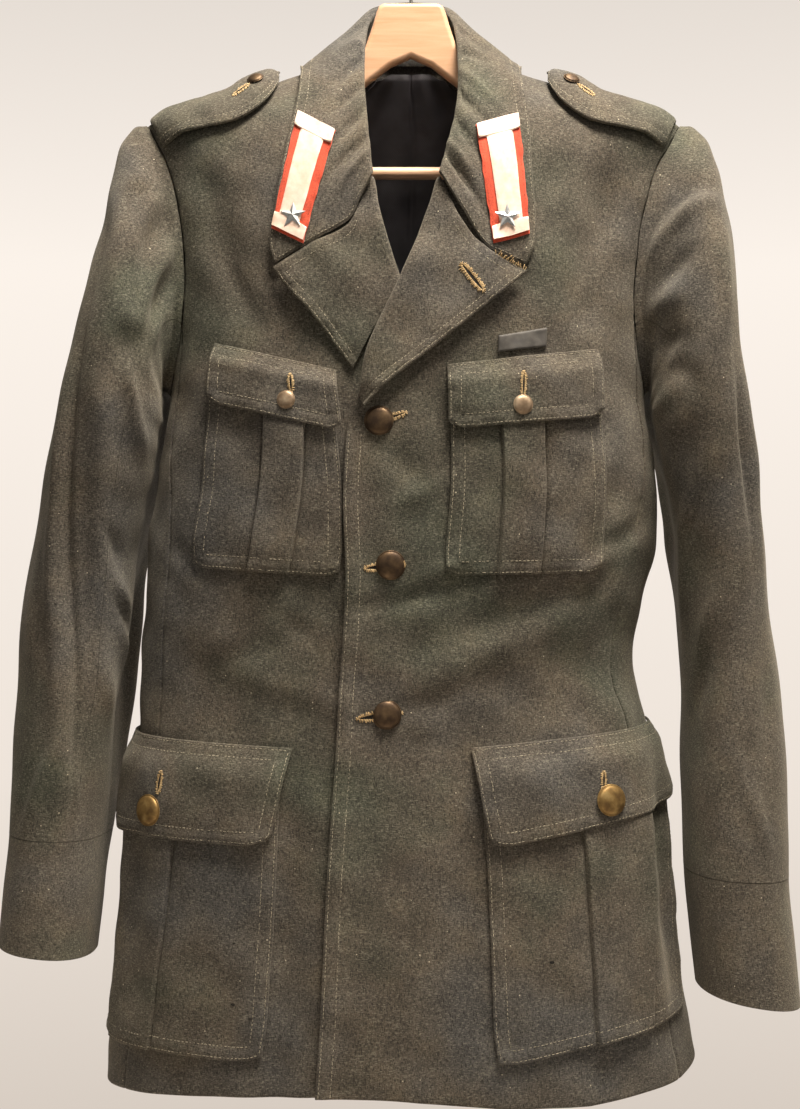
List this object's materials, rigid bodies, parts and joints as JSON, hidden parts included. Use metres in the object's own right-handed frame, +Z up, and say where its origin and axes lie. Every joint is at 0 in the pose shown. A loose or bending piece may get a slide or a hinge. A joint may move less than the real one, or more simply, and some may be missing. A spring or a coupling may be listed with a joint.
{
  "type": "military dress tunic on a hanger",
  "caption": "Single-breasted wool tunic with stand-and-fall collar, lapels, shoulder straps, flapped box-pleat pockets and domed buttons, hanging hollow on a flat wooden hanger.",
  "frame": {"origin": "bearing point under the top of the hanger's hook", "axes": "+Z up, -Y the way the tunic's front faces, +X to the wearer's left"},
  "size_m": [0.6185, 0.1992, 0.9151],
  "materials": {
    "grey_green_wool": "fulled matt wool",
    "dark_lining": "plain dark lining",
    "red_cloth": "matt felted cloth",
    "cream_ribbon": "soft satin ribbon",
    "grey_ribbon": "plain ribbed ribbon",
    "silver_metal": "stamped, dull silver",
    "browned_brass": "browned and worn",
    "pale_beech": "smooth clear varnish",
    "hook_steel": "plain drawn wire"
  },
  "bodies": {
    "root": {"back": "grey_green_wool", "chest_left_button": "browned_brass", "chest_left_flap": "grey_green_wool", "chest_left_pocket": "grey_green_wool", "chest_right_button": "browned_brass", "chest_right_flap": "grey_green_wool", "chest_right_pocket": "grey_green_wool", "collar": "grey_green_wool", "collar_patch_left": "red_cloth", "collar_patch_right": "red_cloth", "collar_star_left": "silver_metal", "collar_star_right": "silver_metal", "collar_strip_left": "cream_ribbon", "collar_strip_right": "cream_ribbon", "cuff_left": "grey_green_wool", "cuff_right": "grey_green_wool", "front_button_1": "browned_brass", "front_button_2": "browned_brass", "front_button_3": "browned_brass", "front_left": "grey_green_wool", "front_right": "grey_green_wool", "hanger_bar": "pale_beech", "hanger_body": "pale_beech", "hanger_hook": "hook_steel", "lapel_left": "grey_green_wool", "lapel_right": "grey_green_wool", "lower_left_button": "browned_brass", "lower_left_flap": "grey_green_wool", "lower_left_pocket": "grey_green_wool", "lower_right_button": "browned_brass", "lower_right_flap": "grey_green_wool", "lower_right_pocket": "grey_green_wool", "neck_lining": "dark_lining", "ribbon_bar": "grey_ribbon", "shoulder_strap_left": "grey_green_wool", "shoulder_strap_right": "grey_green_wool", "side_left": "grey_green_wool", "side_right": "grey_green_wool", "sleeve_left_under": "grey_green_wool", "sleeve_left_upper": "grey_green_wool", "sleeve_right_under": "grey_green_wool", "sleeve_right_upper": "grey_green_wool", "strap_button_left": "browned_brass", "strap_button_right": "browned_brass"}
  },
  "joints": []
}
